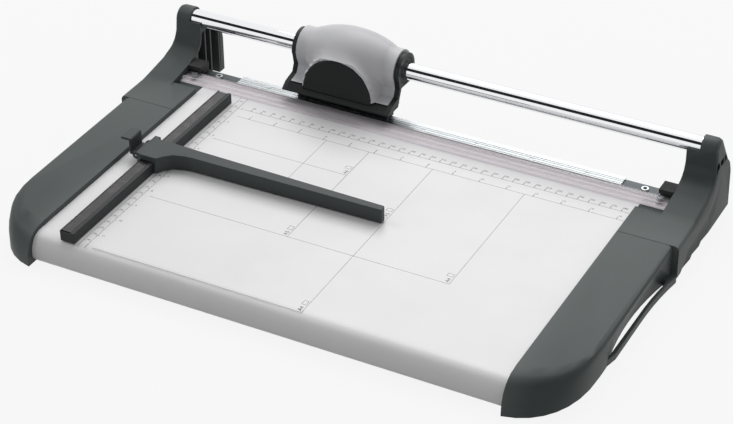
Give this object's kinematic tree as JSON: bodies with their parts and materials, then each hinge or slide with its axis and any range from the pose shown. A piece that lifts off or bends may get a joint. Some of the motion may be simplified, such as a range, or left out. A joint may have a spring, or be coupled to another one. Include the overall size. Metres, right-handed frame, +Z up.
{
  "type": "rotary paper trimmer",
  "caption": "Rotary paper trimmer: white bed with printed scales, dark side covers rising to posts, chromed rail, sliding round-blade head, clear clamp bar, side fence and sliding back stop.",
  "frame": {"origin": "on the surface it stands on, under the centre of the object's bounding box", "axes": "+X to the operator's right along the rail and the cutting line, +Y away from the operator towards the rail, +Z up"},
  "size_m": [0.5446, 0.3592, 0.0962],
  "materials": {
    "white_enamel": "satin white enamel",
    "zinc_plate": "dull zinc plate",
    "dark_anodised": "dark anodised, satin",
    "bright_steel": "ground and polished",
    "black_rubber": "matte",
    "dark_moulding": "satin dark grey moulding",
    "chrome_plate": "mirror bright",
    "clear_plastic": "clear, polished",
    "black_moulding": "satin black moulding",
    "insert_strip": "smooth black strip",
    "stop_moulding": "satin dark moulding",
    "grey_moulding": "satin light grey moulding"
  },
  "bodies": {
    "base": {"table": "white_enamel", "table_channel_rear": "zinc_plate", "table_channel_front": "zinc_plate", "cheek_screw_left_1": "zinc_plate", "cheek_screw_left_2": "zinc_plate", "cheek_screw_left_3": "zinc_plate", "cheek_screw_right_1": "zinc_plate", "cheek_screw_right_2": "zinc_plate", "cheek_screw_right_3": "zinc_plate", "rail_plug_left": "zinc_plate", "rail_plug_right": "zinc_plate", "rail_screw_left": "zinc_plate", "rail_screw_right": "zinc_plate", "fence_screw_rear": "zinc_plate", "fence_screw_front": "zinc_plate", "bed_bar": "dark_anodised", "counter_blade": "bright_steel", "counter_blade_screw_1": "bright_steel", "counter_blade_screw_2": "bright_steel", "counter_blade_screw_3": "bright_steel", "counter_blade_screw_4": "bright_steel", "counter_blade_screw_5": "bright_steel", "counter_blade_screw_6": "bright_steel", "counter_blade_screw_7": "bright_steel", "bed_bar_screw_left": "bright_steel", "bed_bar_screw_right": "bright_steel", "clamp_pin_left": "bright_steel", "clamp_pin_right": "bright_steel", "bed_end_block_left": "black_rubber", "bed_end_block_right": "black_rubber", "foot_front_left": "black_rubber", "foot_front_right": "black_rubber", "foot_rear_left": "black_rubber", "foot_rear_right": "black_rubber", "front_cheek_left": "dark_moulding", "front_cheek_right": "dark_moulding", "rear_cheek_left": "dark_moulding", "rear_cheek_right": "dark_moulding", "guide_rail": "chrome_plate", "fence": "black_moulding", "fence_insert": "insert_strip"},
    "clamp": {"clamp_bar": "clear_plastic"},
    "backstop": {"backstop_arm": "stop_moulding", "backstop_pin": "bright_steel"},
    "lever": {"backstop_lever": "stop_moulding"},
    "head": {"head_core": "black_moulding", "head_shell": "grey_moulding", "blade_cover": "black_moulding", "cover_screw_left": "zinc_plate", "cover_screw_right": "zinc_plate", "shell_screw_left": "zinc_plate", "shell_screw_right": "zinc_plate", "rail_bush_left": "black_rubber", "rail_bush_right": "black_rubber", "blade_axle": "bright_steel", "blade_axle_nut": "zinc_plate", "blade_spring": "bright_steel"},
    "blade": {"rotary_blade": "bright_steel", "blade_hub": "black_moulding"}
  },
  "joints": [
    {"name": "head_slide", "type": "slide", "parent": "base", "child": "head", "axis": [1, 0, 0], "range_m": [-0.096, 0.264]},
    {"name": "blade_spin", "type": "hinge", "parent": "head", "child": "blade", "pos_m": [-0.084, 0.1339, 0.0465], "axis": [0, 1, 0], "continuous": true},
    {"name": "clamp_lift", "type": "slide", "parent": "base", "child": "clamp", "axis": [0, 0, 1], "range_m": [0, 0.0025]},
    {"name": "backstop_slide", "type": "slide", "parent": "base", "child": "backstop", "axis": [0, 1, 0], "range_m": [-0.118, 0.095]},
    {"name": "lever_press", "type": "hinge", "parent": "backstop", "child": "lever", "pos_m": [-0.1995, -0.0256, 0.035], "axis": [0, 1, 0], "range_deg": [0, 10], "stiffness_Nm_per_rad": 0.05, "springref_deg": -9.74}
  ]
}
